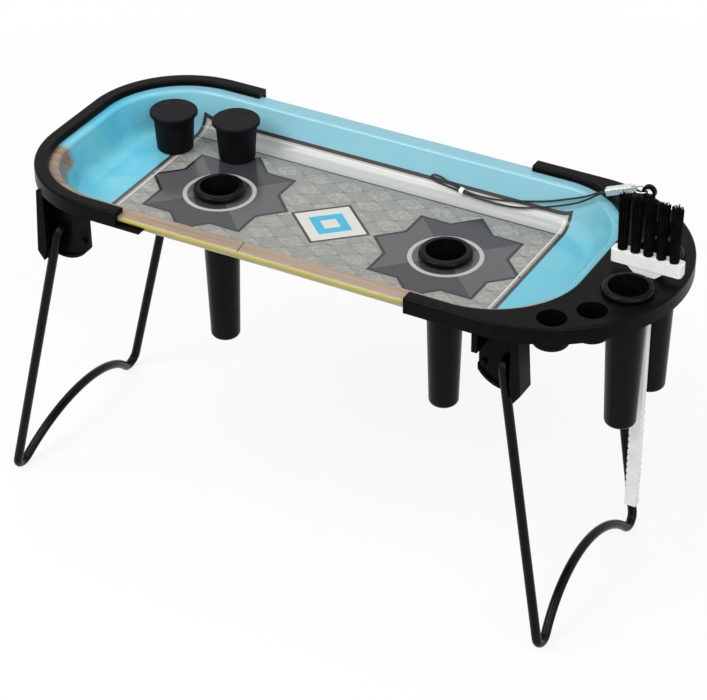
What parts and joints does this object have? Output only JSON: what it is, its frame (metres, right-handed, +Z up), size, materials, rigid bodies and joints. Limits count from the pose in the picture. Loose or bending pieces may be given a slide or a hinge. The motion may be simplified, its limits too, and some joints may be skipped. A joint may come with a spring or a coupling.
{
  "type": "folding-leg tray",
  "caption": "Lacquered metal tray in black end frames on folding wire legs, with hanging cups, stoppers, a brush and a lanyard.",
  "frame": {"origin": "on the ground under the middle of the overall box, cord and its fittings left out", "axes": "+X along the tray towards the shelf with the brush, +Y to the rear, +Z up"},
  "size_m": [0.423, 0.1712, 0.279],
  "materials": {
    "pan_lacquer": "glossy lacquer",
    "frame_plastic": "satin, fine texture",
    "leg_coat": "satin powder coat",
    "cup_plastic": "matte",
    "stopper_plastic": "matte",
    "brush_plastic": "semi-gloss",
    "bristle": "fibres",
    "ring_metal": "bright",
    "crimp_metal": "ribbed",
    "cord_fibre": "braided",
    "bead_plastic": "glossy"
  },
  "bodies": {
    "tray": {"tray_pan": "pan_lacquer", "left_end_frame": "frame_plastic", "right_end_frame": "frame_plastic"},
    "left_leg": {"left_leg": "leg_coat"},
    "right_leg": {"right_leg": "leg_coat"},
    "centre_cup_left": {"centre_cup_left": "cup_plastic"},
    "centre_cup_right": {"centre_cup_right": "cup_plastic"},
    "end_cup_front": {"end_cup_front": "cup_plastic"},
    "end_cup_rear": {"end_cup_rear": "cup_plastic"},
    "stopper_left": {"stopper_left": "stopper_plastic"},
    "stopper_right": {"stopper_right": "stopper_plastic"},
    "brush": {"brush_handle": "brush_plastic", "brush_tuft_1": "bristle", "brush_tuft_2": "bristle", "brush_tuft_3": "bristle", "brush_tuft_4": "bristle", "brush_tuft_5": "bristle"},
    "lanyard": {"lanyard_plug": "frame_plastic", "lanyard_ring": "ring_metal", "lanyard_crimp": "crimp_metal", "lanyard_cord": "cord_fibre", "lanyard_bead": "bead_plastic"}
  },
  "joints": [
    {"name": "left_leg_fold", "type": "hinge", "parent": "tray", "child": "left_leg", "pos_m": [-0.15939, 0, 0.196], "axis": [0, -1, 0], "range_deg": [0, 104]},
    {"name": "right_leg_fold", "type": "hinge", "parent": "tray", "child": "right_leg", "pos_m": [0.13561, 0, 0.196], "axis": [0, 1, 0], "range_deg": [-6, 93]},
    {"name": "centre_cup_left_lift", "type": "slide", "parent": "tray", "child": "centre_cup_left", "axis": [0, 0, 1], "range_m": [0, 0.115]},
    {"name": "centre_cup_right_lift", "type": "slide", "parent": "tray", "child": "centre_cup_right", "axis": [0, 0, 1], "range_m": [0, 0.115]},
    {"name": "end_cup_front_lift", "type": "slide", "parent": "tray", "child": "end_cup_front", "axis": [0, 0, 1], "range_m": [0, 0.1]},
    {"name": "end_cup_rear_lift", "type": "slide", "parent": "tray", "child": "end_cup_rear", "axis": [0, 0, 1], "range_m": [0, 0.1]},
    {"name": "stopper_left_lift", "type": "slide", "parent": "tray", "child": "stopper_left", "axis": [0, 0, 1], "range_m": [0, 0.05]},
    {"name": "stopper_right_lift", "type": "slide", "parent": "tray", "child": "stopper_right", "axis": [0, 0, 1], "range_m": [0, 0.05]},
    {"name": "brush_lift", "type": "slide", "parent": "tray", "child": "brush", "axis": [0, 0, 1], "range_m": [0, 0.17]},
    {"name": "lanyard_lift", "type": "slide", "parent": "tray", "child": "lanyard", "axis": [0, 0, 1], "range_m": [0, 0.03]}
  ]
}
